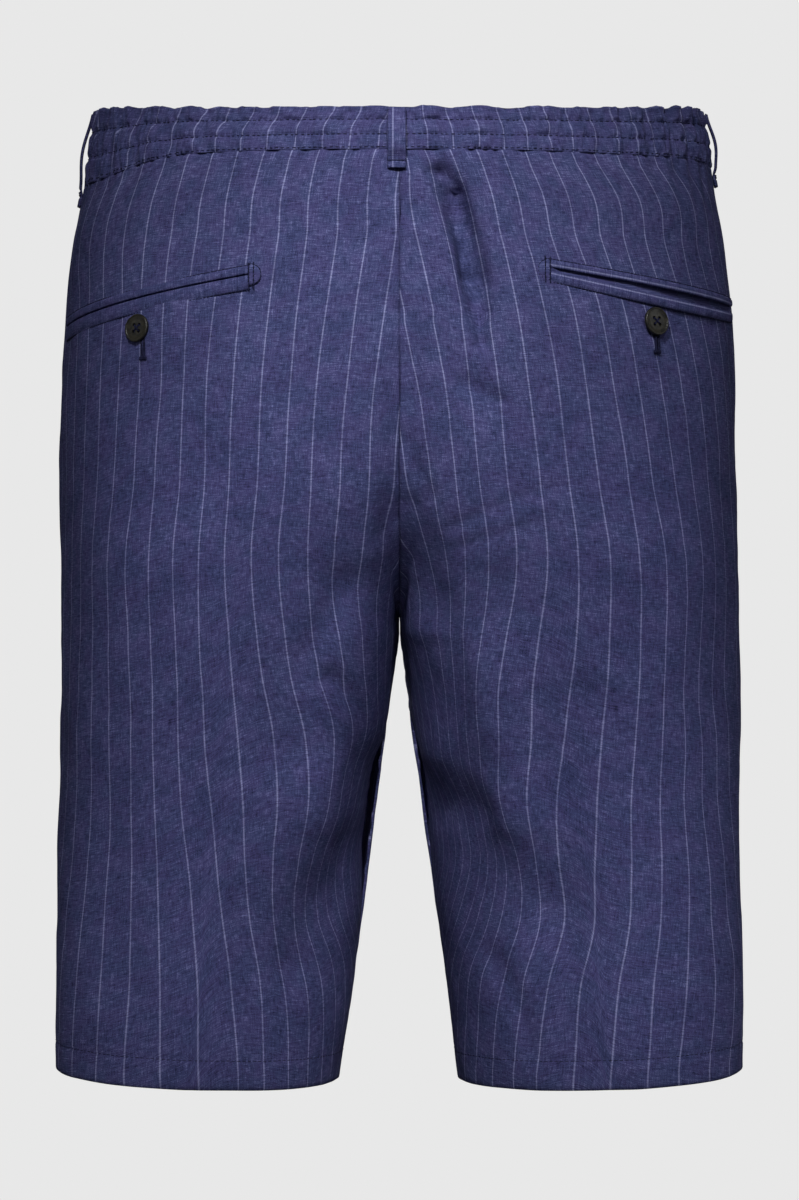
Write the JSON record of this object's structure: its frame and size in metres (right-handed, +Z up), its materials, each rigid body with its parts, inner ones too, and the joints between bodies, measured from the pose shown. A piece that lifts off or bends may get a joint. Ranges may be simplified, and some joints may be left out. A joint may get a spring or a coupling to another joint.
{
  "type": "bermuda shorts",
  "caption": "Bermuda shorts in their worn, hollow form, with a gathered back waistband, belt loops and buttoned welt back pockets.",
  "frame": {"origin": "centre of the waist opening, at the middle of the waistband's height, where the wearer's waist holds the garment", "axes": "+Z up along the legs towards the waist, +Y towards the back, +X towards the wearer's left"},
  "size_m": [0.3758, 0.2411, 0.5277],
  "materials": {
    "linen": "plain-woven navy linen with thin pale pinstripes, matte with a slight slub",
    "horn": "dark horn-like resin, satin"
  },
  "bodies": {
    "root": {"back_left": "linen", "back_right": "linen", "front_left": "linen", "front_right": "linen", "waistband_back": "linen", "waistband_front_left": "linen", "waistband_front_right": "linen", "belt_loop_back": "linen", "belt_loop_side_left": "linen", "belt_loop_side_right": "linen", "belt_loop_front_left": "linen", "belt_loop_front_right": "linen", "fly_shield": "linen", "pocket_left_welt_upper": "linen", "pocket_left_welt_lower": "linen", "pocket_left_tack": "linen", "pocket_left_button": "horn", "pocket_right_welt_upper": "linen", "pocket_right_welt_lower": "linen", "pocket_right_tack": "linen", "pocket_right_button": "horn", "waist_button": "horn"}
  },
  "joints": []
}
